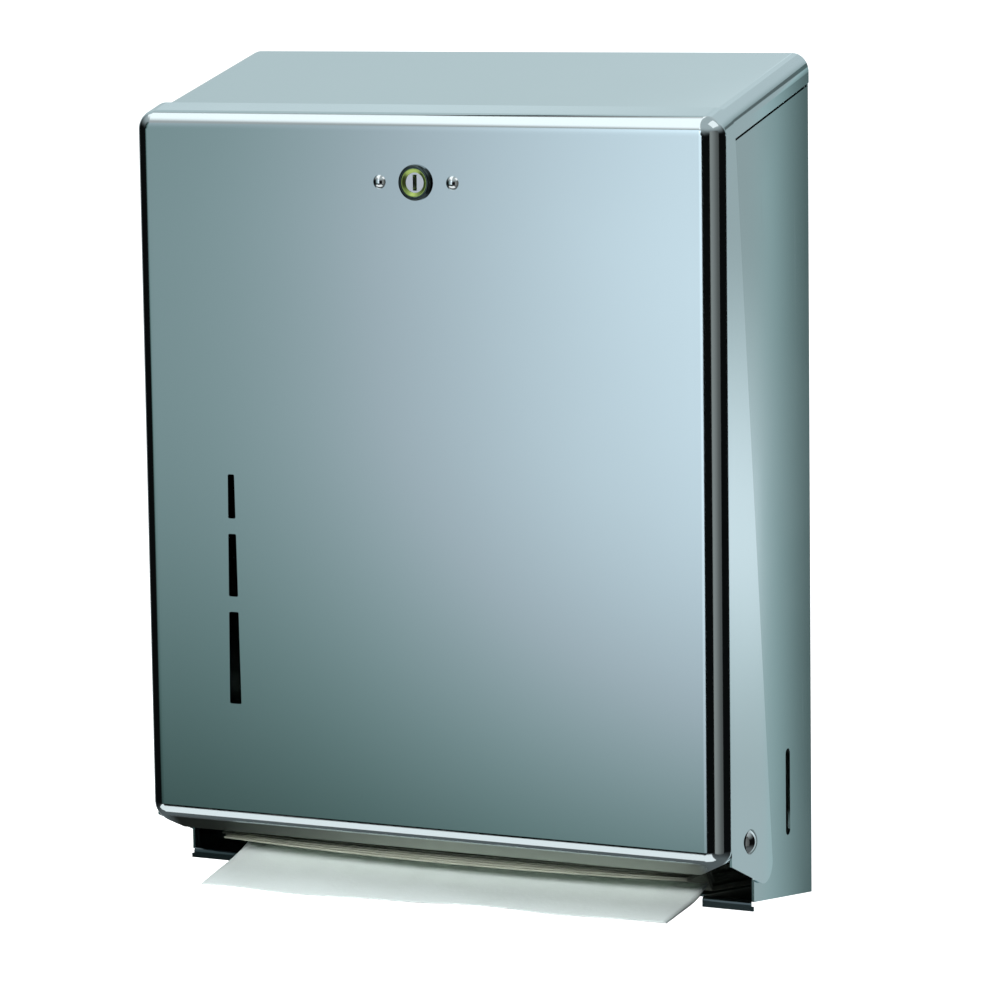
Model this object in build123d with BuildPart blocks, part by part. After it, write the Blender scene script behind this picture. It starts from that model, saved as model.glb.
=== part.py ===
from build123d import *
import os
from math import asin, cos, degrees, radians, sin, sqrt, tan

os.makedirs("parts", exist_ok=True)

# Wall dispenser for folded paper towels, with a drop-front door that pivots at its lower corners.
# Frame: +X to the right seen from the front, +Y into the wall, +Z up, in millimetres.
# The origin is the centre of the four wall screws, on the wall plane.

# Overall size
width = 289.0  # across the door's two ears
depth = 102.0  # wall to the front face of the door
height = 376.0  # lowest to highest rear edge of the cabinet
top_slope = 14.5  # degrees by which the top rises towards the wall

# Sheet metal and its gaps
sheet = 1.0
weld_gap = 0.15  # between sheets that are spot-welded to each other
ear_gap = 0.8  # between a door ear and the side behind it
seam_gap = 1.0  # open seam between the top panel's skirt and the sides
lid_gap = 0.5  # between the door's top flange and the top panel
door_stop_gap = 0.6  # between the door's inner face and the top panel's skirt
door_bend = 9.0  # outside radius of the door's edges
top_bend = 8.0  # outside radius of the top panel's edges
rear_bend = 2.5  # outside radius of the cabinet's rear corners
small_round = 2.0  # outside radius of brackets and ledges

# Wall screws
screw_low = 63.0  # lower screws above the lowest edge
screw_drop = 59.0  # upper screws below the highest edge
screw_span_x = 203.2
screw_hole = 6.5

# Cabinet
foot_depth = 36.3  # front of the sides' lower edge, behind the door's face
foot_height = 8.5  # height of that front corner above the lowest edge
tongue_radius = 14.0  # of the side wall round each pivot
return_low = 58.0  # lower end of the sides' front returns
return_width = 18.0
rear_flange = 30.0  # turned forward at the foot of the back
skirt = 13.0  # height of the top panel's skirt
slot_from_wall = 28.2  # middle of the side slot
slot_low = 31.3
slot_length = 39.0
slot_width = 4.8

# Towel ledges and latch keeper
ledge_width = 23.3
ledge_lip_low = 4.5
ledge_flange = 11.0
keeper_sheet = 1.2
keeper_width = 44.0
keeper_front = 9.0
keeper_reach = 15.0
keeper_clear = 3.0  # above the lock's barrel
keeper_corner = 5.0

# Door
flange_slope = 16.5  # degrees by which the door's top flange rises towards the wall
ear_top_depth = 16.4
ear_low_depth = 54.0
ear_front_height = 33.3  # where the ears' lower edge would meet the door's face
ear_edge_slope = 22.7  # degrees by which the ears' lower edge falls to the rear
ear_corner = 8.5
lip_top = 36.9  # height where the door's lower edge starts to turn in
lip_angle = 45.0
lip_return = 7.6
lip_taper = 14.5  # width over which the lip tapers off to the ears
lip_taper_height = 32.5  # height of the lip's end at the ears
window_inset = 48.0  # middle of the windows from the door's left edge
window_top = 190.5
window_lengths = (20.0, 28.5, 42.0)
window_bridge = 7.0
window_top_width = 3.3
window_low_width = 6.0
window_round = 0.7

# Door pivots
pivot_depth = 28.7
pivot_height = 37.0
pivot_pin = 5.0
pivot_head = 11.0
pivot_head_height = 2.5
pivot_tail = 9.0
pivot_tail_height = 1.5
washer_diameter = 12.0
run_gap = 0.05  # radial gap of a turning fit
side_play = 0.1  # gap along the axis of a turning fit

# Lock
lock_drop = 28.167  # lock's axis below the sharp top edge of the door's face
bezel_diameter = 15.8
bezel_height = 2.2
bezel_round = 1.2
barrel_head = 12.4
barrel_head_height = 1.8
barrel_rim = 0.35  # flat edge round the barrel's dished face
barrel_dish = 0.8
barrel_body = 11.6
barrel_end = 10.2  # rear end of the barrel, behind the door's face
plug_diameter = 8.0
plug_flange = 8.8
plug_flange_height = 0.8
plug_recess = 0.9  # plug's face below the barrel's rim
key_slot_width = 2.0
key_slot_height = 7.0
key_slot_length = 8.4
wafer_count = 4
wafer_thickness = 0.9
wafer_pitch = 1.6
wafer_width = 4.2
wafer_height = 6.0
wafer_gap = 0.1
wafer_window = 4.8
tang_side = 5.2
plate_width = 52.0
plate_height = 24.0
plate_sheet = 1.2
plate_corner = 3.0
rivet_span = 36.0
rivet_head = 6.2
rivet_head_height = 1.8
rivet_shank = 4.0
rivet_tail = 5.6
rivet_tail_height = 1.4
tooth_washer_diameter = 17.0
tooth_washer_sheet = 0.6
tooth_count = 12
tooth_notch = 1.4
nut_flats = 17.0
nut_height = 3.5
nut_chamfer = 0.8
cam_thickness = 2.0
cam_width = 12.0
cam_length = 22.0  # lock axis to the cam's tip
cam_gap = 0.3  # between the cam and the keeper or the barrel
cam_washer_diameter = 9.0
cam_washer_sheet = 0.8
screw_shank = 3.0
screw_shank_length = 5.0
screw_head = 6.4
screw_head_height = 2.0
screw_slot_width = 0.9
screw_slot_depth = 0.9
hole_gap = 0.1  # radial gap round a rivet, barrel or screw

# Towels
towel_gap = 1.2  # between a drawn towel and each ledge
stack_spread = 3.0  # by which the uneven stack is wider on each side
stack_front = 20.5
stack_rear_gap = 0.5  # to the cabinet's back
stack_top = 64.0
stack_lift = 18.0  # height of the stack's lower front edge
stack_lift_depth = 42.0  # where the stack's underside starts to come down to the ledges
stack_rest_depth = 48.0  # where it reaches them
stack_round = 3.0
seat_gap = 0.3  # between soft pieces and what carries them
drawn_thickness = 0.8
drawn_rear_height = 13.2
drawn_bend = (33.0, 8.9)  # a point of the drawn towel's bend, depth and height
drawn_bend_end = (20.0, 6.4)
drawn_edge_height = 3.0  # of its front edge, in the plane of the door's face

screw_span_z = height - screw_low - screw_drop
screw_centre = screw_low + screw_span_z / 2  # above the lowest edge


def y_in(distance):
    """Y of a point at this distance behind the door's face."""
    return distance - depth


def z_up(rise):
    """Z of a point at this height above the cabinet's lowest edge."""
    return rise - screw_centre


def spot(distance, rise):
    """Point of a side profile, in the local axes of the YZ plane."""
    return (y_in(distance), z_up(rise))


# Widths from the outside in
half = width / 2
top_half = half - sheet - ear_gap
body_half = top_half
lap_half = top_half - top_bend - weld_gap  # inside the top panel's corners
body_inner = body_half - sheet
ledge_inner = body_inner - weld_gap - ledge_width
towel_half = ledge_inner - towel_gap
window_x = window_inset - half
lip_taper_start = half - lip_taper

# Depths from the front
top_front = sheet + door_stop_gap
top_rear = depth - sheet - weld_gap
body_front = top_front + sheet + weld_gap
back_inner = depth - sheet
seam_rear = back_inner - rear_bend
slot_depth = depth - slot_from_wall
stack_rear = back_inner - stack_rear_gap

slope_cos = cos(radians(top_slope))
slope_tan = tan(radians(top_slope))
flange_tan = tan(radians(flange_slope))


def top_at(distance):
    """Height of the top panel's upper face."""
    return height - (top_rear - distance) * slope_tan


def door_top_at(distance):
    """Height of the upper face of the door's top flange."""
    return top_at(top_bend) + (sheet + lid_gap) / slope_cos + (distance - top_bend) * flange_tan


def base_at(distance):
    """Height of the sides' lower edge."""
    return foot_height * (depth - distance) / (depth - foot_depth)


def below_top(distance, cover):
    """Height of a plane that lies this far under the top panel's upper face."""
    return top_at(distance) - cover / slope_cos


def skirt_at(distance):
    """Height of the lower edge of the top panel's skirt."""
    return top_at(distance) - skirt


base_cos = (depth - foot_depth) / sqrt((depth - foot_depth) ** 2 + foot_height**2)
ear_low_height = ear_front_height - ear_low_depth * tan(radians(ear_edge_slope))
front_plane = Plane.XZ.offset(depth)
pivot = spot(pivot_depth, pivot_height)
lock_height = door_top_at(0) - lock_drop
lock_z = z_up(lock_height)
keeper_low = lock_height + barrel_body / 2 + keeper_clear


def dome(base, rise, radius):
    """Arc of a domed head on a profile's x axis, from its tip down to its rim at x = base."""
    ball = (radius**2 + rise**2) / (2 * rise)
    return CenterArc((base + rise - ball, 0), ball, 0, degrees(asin(radius / ball)))


def rounded_tray_edges(block):
    """Upright front edges, front top edge and sloping top side edges of a block."""
    upright = block.edges().filter_by(Axis.Z).group_by(Axis.Y)[0]
    roof = max(block.faces(), key=lambda face: face.normal_at().Z).edges()
    front = roof.filter_by(Axis.X).sort_by(Axis.Y)[:1]
    return upright + front + roof.filter_by(Axis.X, reverse=True)


# Cabinet body: the back and two sides in one sheet, with front returns
with BuildPart() as body_hollow:
    with BuildSketch(Plane.YZ):
        with BuildLine():
            Polyline(
                spot(body_front + sheet, -height),
                spot(body_front + sheet, 2 * height),
                spot(back_inner, 2 * height),
                spot(back_inner, -height),
                close=True,
            )
        make_face()
    extrude(amount=body_inner, both=True)
    upright_edges = body_hollow.edges().filter_by(Axis.Z).group_by(Axis.Y)
    fillet(upright_edges[0], top_bend - 2 * sheet)
    fillet(body_hollow.edges().filter_by(Axis.Z).group_by(Axis.Y)[-1], rear_bend - sheet)

with BuildPart() as cabinet_body:
    foot_rise = sqrt(tongue_radius**2 - (foot_depth - pivot_depth) ** 2)
    tongue_turn = tongue_radius * cos(radians(45))
    tongue_back = tongue_radius * cos(radians(30))
    side_cover = top_bend + weld_gap
    with BuildSketch(Plane.YZ):
        with BuildLine():
            tongue_foot = spot(foot_depth, pivot_height - foot_rise)
            tongue_middle = spot(pivot_depth - tongue_turn, pivot_height - tongue_turn)
            tongue_end = spot(pivot_depth - tongue_back, pivot_height + tongue_radius / 2)
            ThreePointArc(tongue_foot, tongue_middle, tongue_end)
            Polyline(
                tongue_end,
                spot(body_front, return_low),
                spot(body_front, below_top(body_front, side_cover)),
                spot(depth, below_top(depth, side_cover)),
                spot(depth, 0),
                spot(foot_depth, foot_height),
                tongue_foot,
            )
        make_face()
    extrude(amount=body_half, both=True)
    fillet(cabinet_body.edges().filter_by(Axis.Z).group_by(Axis.Y)[0], top_bend - sheet)
    fillet(cabinet_body.edges().filter_by(Axis.Z).group_by(Axis.Y)[-1], rear_bend)
    add(body_hollow.part, mode=Mode.SUBTRACT)
    # Open front between the returns, and open below them
    with BuildSketch(front_plane):
        with Locations((0, z_up(height / 2))):
            Rectangle(2 * (body_half - return_width), 2 * height)
        with Locations((0, z_up(return_low - height / 2))):
            Rectangle(2 * body_inner, height)
    extrude(amount=-back_inner, mode=Mode.SUBTRACT)
    # Sides end under the top panel's skirt, close at the rear; the returns and the back run on inside it
    for side in (-1, 1):
        with BuildSketch(Plane.YZ.offset(side * lap_half)):
            with BuildLine():
                Polyline(
                    spot(0, skirt_at(0) - seam_gap),
                    spot(seam_rear, skirt_at(seam_rear) - seam_gap),
                    spot(seam_rear, skirt_at(seam_rear) - weld_gap),
                    spot(2 * depth, skirt_at(2 * depth) - weld_gap),
                    spot(2 * depth, 2 * height),
                    spot(0, 2 * height),
                    close=True,
                )
            make_face()
        extrude(amount=side * half, mode=Mode.SUBTRACT)
    # Flange turned forward at the foot of the back
    with BuildSketch(Plane.YZ):
        with BuildLine():
            Polyline(
                spot(depth - rear_flange, 0),
                spot(depth - rear_flange, sheet),
                spot(depth, sheet),
                spot(depth, 0),
                close=True,
            )
        make_face()
    extrude(amount=ledge_inner - sheet, both=True)
    # Slot low in each side, and the hole for the pivot rivet
    with BuildSketch(Plane.YZ):
        with Locations(spot(slot_depth, slot_low + slot_length / 2)):
            SlotOverall(slot_length, slot_width, rotation=90)
        with Locations(pivot):
            Circle(pivot_pin / 2 + run_gap)
    extrude(amount=width, both=True, mode=Mode.SUBTRACT)
    with BuildSketch(Plane.XZ):
        with GridLocations(screw_span_x, screw_span_z, 2, 2):
            Circle(screw_hole / 2)
    extrude(amount=2 * sheet, mode=Mode.SUBTRACT)
cabinet_body.part.label = "cabinet_body"
export_step(cabinet_body.part, "parts/cabinet_body.step")


# Top panel: a sloping cap flush with the sides, whose skirt laps over the returns
with BuildPart() as top_hollow:
    with BuildSketch(Plane.YZ):
        with BuildLine():
            Polyline(
                spot(top_front + sheet, below_top(top_front + sheet, sheet)),
                spot(top_rear - sheet, below_top(top_rear - sheet, sheet)),
                spot(top_rear - sheet, below_top(top_rear - sheet, sheet) - 2 * skirt),
                spot(top_front + sheet, below_top(top_front + sheet, sheet) - 2 * skirt),
                close=True,
            )
        make_face()
    extrude(amount=top_half - sheet, both=True)
    fillet(rounded_tray_edges(top_hollow), top_bend - sheet)

with BuildPart() as top_panel:
    with BuildSketch(Plane.YZ):
        with BuildLine():
            Polyline(
                spot(top_front, top_at(top_front)),
                spot(top_rear, top_at(top_rear)),
                spot(top_rear, top_at(top_rear) - skirt),
                spot(top_front, top_at(top_front) - skirt),
                close=True,
            )
        make_face()
    extrude(amount=top_half, both=True)
    fillet(rounded_tray_edges(top_panel), top_bend)
    add(top_hollow.part, mode=Mode.SUBTRACT)
top_panel.part.label = "top_panel"
export_step(top_panel.part, "parts/top_panel.step")


# Towel ledges: a sloping shelf at each side, with a turned-down front lip and a welding flange
with BuildPart() as right_towel_ledge:
    lip_rear = foot_depth - weld_gap
    lip_front = lip_rear - sheet
    shelf = sheet / base_cos
    ledge_end = back_inner - weld_gap
    with BuildSketch(Plane.YZ.offset(ledge_inner)):
        with BuildLine():
            Polyline(
                spot(lip_front, foot_height + shelf),
                spot(lip_front, ledge_lip_low),
                spot(lip_rear, ledge_lip_low),
                spot(lip_rear, foot_height),
                spot(ledge_end, base_at(ledge_end)),
                spot(ledge_end, base_at(ledge_end) + shelf),
                close=True,
            )
        make_face()
    extrude(amount=ledge_width)
    fillet(right_towel_ledge.edges().filter_by(Axis.X).sort_by(Axis.Y)[:2].sort_by(Axis.Z)[-1], small_round)
    # Lip carried on across the front edge of the side
    with BuildSketch(Plane.YZ.offset(body_inner - weld_gap)):
        with BuildLine():
            Polyline(
                spot(lip_front, foot_height - small_round),
                spot(lip_front, ledge_lip_low),
                spot(lip_rear, ledge_lip_low),
                spot(lip_rear, foot_height - small_round),
                close=True,
            )
        make_face()
    extrude(amount=sheet + weld_gap)
    # Flange up the inside of the side
    with BuildSketch(Plane.YZ.offset(body_inner - weld_gap - sheet)):
        with BuildLine():
            Polyline(
                spot(foot_depth + small_round, base_at(foot_depth + small_round)),
                spot(foot_depth + small_round, foot_height + ledge_flange),
                spot(ledge_end, base_at(ledge_end) + ledge_flange),
                spot(ledge_end, base_at(ledge_end)),
                close=True,
            )
        make_face()
    extrude(amount=sheet)
right_towel_ledge.part.label = "right_towel_ledge"
export_step(right_towel_ledge.part, "parts/right_towel_ledge.step")

with BuildPart() as left_towel_ledge:
    mirror(right_towel_ledge.part, about=Plane.YZ)
left_towel_ledge.part.label = "left_towel_ledge"
export_step(left_towel_ledge.part, "parts/left_towel_ledge.step")


# Latch keeper: an angle under the top, behind whose leg the lock's cam turns
with BuildPart() as latch_keeper:
    keeper_rear = keeper_front + keeper_reach
    keeper_leg_rear = keeper_front + keeper_sheet
    keeper_cover = sheet + weld_gap
    with BuildSketch(Plane.YZ):
        with BuildLine():
            Polyline(
                spot(keeper_front, below_top(keeper_front, keeper_cover)),
                spot(keeper_rear, below_top(keeper_rear, keeper_cover)),
                spot(keeper_rear, below_top(keeper_rear, keeper_cover + keeper_sheet)),
                spot(keeper_leg_rear, below_top(keeper_leg_rear, keeper_cover + keeper_sheet)),
                spot(keeper_leg_rear, keeper_low),
                spot(keeper_front, keeper_low),
                close=True,
            )
        make_face()
    extrude(amount=keeper_width / 2, both=True)
    fillet(latch_keeper.edges().filter_by(Axis.X).group_by(Axis.Y)[0].sort_by(Axis.Z)[-1], small_round)
    fillet(latch_keeper.edges().filter_by(Axis.Y).group_by(Axis.Z)[0], keeper_corner)
latch_keeper.part.label = "latch_keeper"
export_step(latch_keeper.part, "parts/latch_keeper.step")


# Door panel: one sheet with rounded edges, tapering ears and an inturned lower lip
with BuildPart() as door_hollow:
    with BuildSketch(Plane.YZ):
        with BuildLine():
            roof_drop = sheet / cos(radians(flange_slope))
            Polyline(
                spot(sheet, -height),
                spot(sheet, door_top_at(sheet) - roof_drop),
                spot(depth, door_top_at(depth) - roof_drop),
                spot(depth, -height),
                close=True,
            )
        make_face()
    extrude(amount=half - sheet, both=True)
    fillet(rounded_tray_edges(door_hollow), door_bend - sheet)

with BuildPart() as door_panel:
    with BuildSketch(Plane.YZ):
        with BuildLine():
            Polyline(
                spot(0, ear_front_height),
                spot(0, door_top_at(0)),
                spot(ear_top_depth, door_top_at(ear_top_depth)),
                spot(ear_low_depth, ear_low_height),
                close=True,
            )
        make_face()
    extrude(amount=half, both=True)
    fillet(door_panel.edges().filter_by(Axis.X).sort_by(Axis.Z)[0], ear_corner)
    fillet(rounded_tray_edges(door_panel), door_bend)
    add(door_hollow.part, mode=Mode.SUBTRACT)
    # Lower front, where the turned-in lip takes over
    with BuildSketch(Plane.YZ):
        with BuildLine():
            Polyline(
                spot(0, lip_top),
                spot(door_bend, lip_top),
                spot(door_bend, 0),
                spot(0, 0),
                close=True,
            )
        make_face()
    extrude(amount=width, both=True, mode=Mode.SUBTRACT)
    lip_corner = half - door_bend
    lip_turn = radians(lip_angle)
    bend_end = (door_bend - door_bend * cos(lip_turn), lip_top - door_bend * sin(lip_turn))
    lip_end = (bend_end[0] + lip_return * sin(lip_turn), bend_end[1] - lip_return * cos(lip_turn))
    lip_in = (sheet * cos(lip_turn), sheet * sin(lip_turn))
    lip_axis_y = y_in(door_bend)
    for side in (-1, 1):
        with BuildSketch(Plane.YZ.offset(side * lip_corner)) as lip_profile:
            with BuildLine():
                bend_centre = spot(door_bend, lip_top)
                outer_bend = CenterArc(bend_centre, door_bend, 180, lip_angle)
                outer_return = Line(outer_bend @ 1, spot(*lip_end))
                lip_edge = Line(outer_return @ 1, spot(lip_end[0] + lip_in[0], lip_end[1] + lip_in[1]))
                inner_bend = CenterArc(bend_centre, door_bend - sheet, 180, lip_angle)
                Line(lip_edge @ 1, inner_bend @ 1)
                Line(inner_bend @ 0, outer_bend @ 0)
            make_face()
        extrude(amount=-side * lip_corner)
        corner_axis = Axis((side * lip_corner, lip_axis_y, 0), (0, 0, side))
        revolve(lip_profile.sketch, axis=corner_axis, revolution_arc=90)
    # The lip tapers off towards the ears
    with BuildSketch(front_plane):
        for side in (-1, 1):
            with BuildLine():
                Polyline(
                    (side * lip_taper_start, z_up(lip_end[1])),
                    (side * half, z_up(lip_taper_height)),
                    (side * width, z_up(lip_taper_height)),
                    (side * width, z_up(0)),
                    (side * lip_taper_start, z_up(0)),
                    close=True,
                )
            make_face()
    extrude(amount=-door_bend, mode=Mode.SUBTRACT)
    # Refill windows: a tapering slit crossed by bridges
    window_height = sum(window_lengths) + window_bridge * (len(window_lengths) - 1)
    window_growth = (window_low_width - window_top_width) / window_height
    with BuildSketch(front_plane) as windows:
        drop = 0.0
        for window_length in window_lengths:
            upper_half = (window_top_width + window_growth * drop) / 2
            lower_half = (window_top_width + window_growth * (drop + window_length)) / 2
            upper_z = z_up(window_top - drop)
            lower_z = z_up(window_top - drop - window_length)
            with BuildLine():
                Polyline(
                    (window_x - upper_half, upper_z),
                    (window_x + upper_half, upper_z),
                    (window_x + lower_half, lower_z),
                    (window_x - lower_half, lower_z),
                    close=True,
                )
            make_face()
            drop += window_length + window_bridge
        fillet(windows.vertices(), window_round)
    extrude(amount=-2 * sheet, mode=Mode.SUBTRACT)
    # Lock and rivet holes
    with BuildSketch(front_plane):
        with Locations((0, lock_z)):
            Circle(barrel_body / 2 + hole_gap)
        with Locations((-rivet_span / 2, lock_z), (rivet_span / 2, lock_z)):
            Circle(rivet_shank / 2 + hole_gap)
    extrude(amount=-2 * sheet, mode=Mode.SUBTRACT)
    # Pivot holes in the ears
    with BuildSketch(Plane.YZ):
        with Locations(pivot):
            Circle(pivot_pin / 2 + run_gap)
    extrude(amount=width, both=True, mode=Mode.SUBTRACT)
door_panel.part.label = "door_panel"
export_step(door_panel.part, "parts/door_panel.step")


# Door pivots: a domed rivet through each ear and side, with a spacing washer between them
ear_inner = half - sheet
pivot_axis = Axis((0, pivot[0], pivot[1]), (1, 0, 0))
with BuildPart() as right_pivot_rivet:
    head_start = half + side_play
    tail_start = body_inner - side_play
    shank = pivot_pin / 2
    with BuildSketch(Plane((0, pivot[0], pivot[1]), x_dir=(1, 0, 0), z_dir=(0, -1, 0))):
        with BuildLine():
            head = dome(head_start, pivot_head_height, pivot_head / 2)
            Polyline(
                head @ 0,
                (tail_start - pivot_tail_height, 0),
                (tail_start - pivot_tail_height, pivot_tail / 2),
                (tail_start, pivot_tail / 2),
                (tail_start, shank),
                (head_start, shank),
                head @ 1,
            )
        make_face()
    revolve(axis=pivot_axis)
right_pivot_rivet.part.label = "right_pivot_rivet"
export_step(right_pivot_rivet.part, "parts/right_pivot_rivet.step")

with BuildPart() as left_pivot_rivet:
    mirror(right_pivot_rivet.part, about=Plane.YZ)
left_pivot_rivet.part.label = "left_pivot_rivet"
export_step(left_pivot_rivet.part, "parts/left_pivot_rivet.step")

with BuildPart() as right_pivot_washer:
    with BuildSketch(Plane.YZ.offset(body_half)):
        with Locations(pivot):
            Circle(washer_diameter / 2)
            Circle(pivot_pin / 2 + run_gap, mode=Mode.SUBTRACT)
    extrude(amount=ear_inner - body_half - side_play)
right_pivot_washer.part.label = "right_pivot_washer"
export_step(right_pivot_washer.part, "parts/right_pivot_washer.step")

with BuildPart() as left_pivot_washer:
    mirror(right_pivot_washer.part, about=Plane.YZ)
left_pivot_washer.part.label = "left_pivot_washer"
export_step(left_pivot_washer.part, "parts/left_pivot_washer.step")


# Lock, from the front to the rear
def lock_plane(distance):
    """Plane square to the lock's axis, at this distance behind the door's face, facing the front."""
    return Plane((0, y_in(distance), lock_z), x_dir=(1, 0, 0), z_dir=(0, -1, 0))


plate_rear = sheet + plate_sheet
nut_front = plate_rear + tooth_washer_sheet
cam_front = barrel_end + cam_gap
cam_rear = cam_front + cam_thickness
screw_seat = cam_rear + cam_washer_sheet

with BuildPart() as lock_bezel:
    with BuildSketch(lock_plane(0)):
        Circle(bezel_diameter / 2)
        Circle(barrel_head / 2 + hole_gap, mode=Mode.SUBTRACT)
    extrude(amount=bezel_height)
    fillet(lock_bezel.edges().filter_by(GeomType.CIRCLE).group_by(Axis.Y)[0].sort_by(SortBy.RADIUS)[-1], bezel_round)
lock_bezel.part.label = "lock_bezel"
export_step(lock_bezel.part, "parts/lock_bezel.step")

with BuildPart() as lock_barrel:
    with BuildSketch(lock_plane(0)):
        Circle(barrel_head / 2)
    extrude(amount=barrel_head_height)
    with BuildSketch(lock_plane(0)):
        Circle(barrel_body / 2)
    extrude(amount=-barrel_end)
    with BuildSketch(lock_plane(-barrel_head_height)):
        Circle(plug_diameter / 2 + run_gap)
    extrude(amount=-(barrel_head_height + barrel_end), mode=Mode.SUBTRACT)
    with BuildSketch(lock_plane(-barrel_head_height)):
        Circle(plug_flange / 2 + run_gap)
    extrude(amount=-(plug_recess + plug_flange_height + side_play), mode=Mode.SUBTRACT)
    # Face dished towards the plug
    with BuildSketch(Plane((0, y_in(0), lock_z), x_dir=(0, -1, 0), z_dir=(1, 0, 0))):
        with BuildLine():
            Polyline(
                (barrel_head_height, plug_diameter / 2),
                (barrel_head_height, barrel_head / 2 - barrel_rim),
                (barrel_head_height - barrel_dish, plug_flange / 2),
                (barrel_head_height - barrel_dish, plug_diameter / 2),
                close=True,
            )
        make_face()
    revolve(axis=Axis((0, 0, lock_z), (0, 1, 0)), mode=Mode.SUBTRACT)
lock_barrel.part.label = "lock_barrel"
export_step(lock_barrel.part, "parts/lock_barrel.step")

plug_face = plug_recess - barrel_head_height
wafer_first = plug_face + plug_flange_height + wafer_pitch
wafer_depths = [wafer_first + wafer_pitch * number for number in range(wafer_count)]
with BuildPart() as lock_plug:
    with BuildSketch(lock_plane(plug_face)):
        Circle(plug_flange / 2)
    extrude(amount=-plug_flange_height)
    with BuildSketch(lock_plane(plug_face + plug_flange_height)):
        Circle(plug_diameter / 2)
    extrude(amount=plug_face + plug_flange_height - barrel_end)
    with BuildSketch(lock_plane(barrel_end)):
        Rectangle(tang_side, tang_side)
    extrude(amount=-(cam_gap + cam_thickness))
    with BuildSketch(lock_plane(plug_face)):
        Rectangle(key_slot_width, key_slot_height)
    extrude(amount=-key_slot_length, mode=Mode.SUBTRACT)
    for wafer_depth in wafer_depths:
        with BuildSketch(lock_plane(wafer_depth)):
            Rectangle(wafer_width + 2 * wafer_gap, wafer_height + 2 * wafer_gap)
        extrude(amount=-(wafer_thickness + 2 * wafer_gap), mode=Mode.SUBTRACT)
    with BuildSketch(lock_plane(cam_rear)):
        Circle(screw_shank / 2 + hole_gap)
    extrude(amount=screw_shank_length, mode=Mode.SUBTRACT)
lock_plug.part.label = "lock_plug"
export_step(lock_plug.part, "parts/lock_plug.step")

with BuildPart() as lock_wafers:
    for wafer_depth in wafer_depths:
        with BuildSketch(lock_plane(wafer_depth + wafer_gap)):
            Rectangle(wafer_width, wafer_height)
            Rectangle(key_slot_width, wafer_window, mode=Mode.SUBTRACT)
        extrude(amount=-wafer_thickness)
lock_wafers.part.label = "lock_wafers"
export_step(lock_wafers.part, "parts/lock_wafers.step")

with BuildPart() as lock_plate:
    with BuildSketch(lock_plane(sheet)):
        RectangleRounded(plate_width, plate_height, plate_corner)
        Circle(barrel_body / 2 + hole_gap, mode=Mode.SUBTRACT)
        with Locations((-rivet_span / 2, 0), (rivet_span / 2, 0)):
            Circle(rivet_shank / 2 + hole_gap, mode=Mode.SUBTRACT)
    extrude(amount=-plate_sheet)
lock_plate.part.label = "lock_plate"
export_step(lock_plate.part, "parts/lock_plate.step")

with BuildPart() as lock_rivets:
    for side in (-1, 1):
        rivet_x = side * rivet_span / 2
        with BuildSketch(Plane((rivet_x, y_in(0), lock_z), x_dir=(0, -1, 0), z_dir=(1, 0, 0))):
            with BuildLine():
                head = dome(0, rivet_head_height, rivet_head / 2)
                Polyline(
                    head @ 0,
                    (-plate_rear - rivet_tail_height, 0),
                    (-plate_rear - rivet_tail_height, rivet_tail / 2),
                    (-plate_rear, rivet_tail / 2),
                    (-plate_rear, rivet_shank / 2),
                    (0, rivet_shank / 2),
                    head @ 1,
                )
            make_face()
        revolve(axis=Axis((rivet_x, 0, lock_z), (0, 1, 0)))
lock_rivets.part.label = "lock_rivets"
export_step(lock_rivets.part, "parts/lock_rivets.step")

with BuildPart() as lock_tooth_washer:
    with BuildSketch(lock_plane(plate_rear)):
        Circle(tooth_washer_diameter / 2)
        Circle(barrel_body / 2 + hole_gap, mode=Mode.SUBTRACT)
        with PolarLocations(tooth_washer_diameter / 2, tooth_count):
            Circle(tooth_notch / 2, mode=Mode.SUBTRACT)
    extrude(amount=-tooth_washer_sheet)
lock_tooth_washer.part.label = "lock_tooth_washer"
export_step(lock_tooth_washer.part, "parts/lock_tooth_washer.step")

with BuildPart() as lock_nut:
    with BuildSketch(lock_plane(nut_front)):
        RegularPolygon(nut_flats / 2, 6, major_radius=False)
        Circle(barrel_body / 2 + hole_gap, mode=Mode.SUBTRACT)
    extrude(amount=-nut_height)
    nut_rim = lock_nut.faces().sort_by(Axis.Y)[-1].edges().filter_by(GeomType.LINE)
    chamfer(nut_rim, nut_chamfer)
lock_nut.part.label = "lock_nut"
export_step(lock_nut.part, "parts/lock_nut.step")

with BuildPart() as lock_cam:
    with BuildSketch(lock_plane(cam_front)):
        cam_run = cam_length - cam_width / 2
        with Locations((cam_run / 2, 0)):
            SlotCenterToCenter(cam_run, cam_width)
        Rectangle(tang_side + 2 * hole_gap, tang_side + 2 * hole_gap, mode=Mode.SUBTRACT)
    extrude(amount=-cam_thickness)
lock_cam.part.label = "lock_cam"
export_step(lock_cam.part, "parts/lock_cam.step")

with BuildPart() as cam_washer:
    with BuildSketch(lock_plane(cam_rear)):
        Circle(cam_washer_diameter / 2)
        Circle(screw_shank / 2 + hole_gap, mode=Mode.SUBTRACT)
    extrude(amount=-cam_washer_sheet)
cam_washer.part.label = "cam_washer"
export_step(cam_washer.part, "parts/cam_washer.step")

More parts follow.
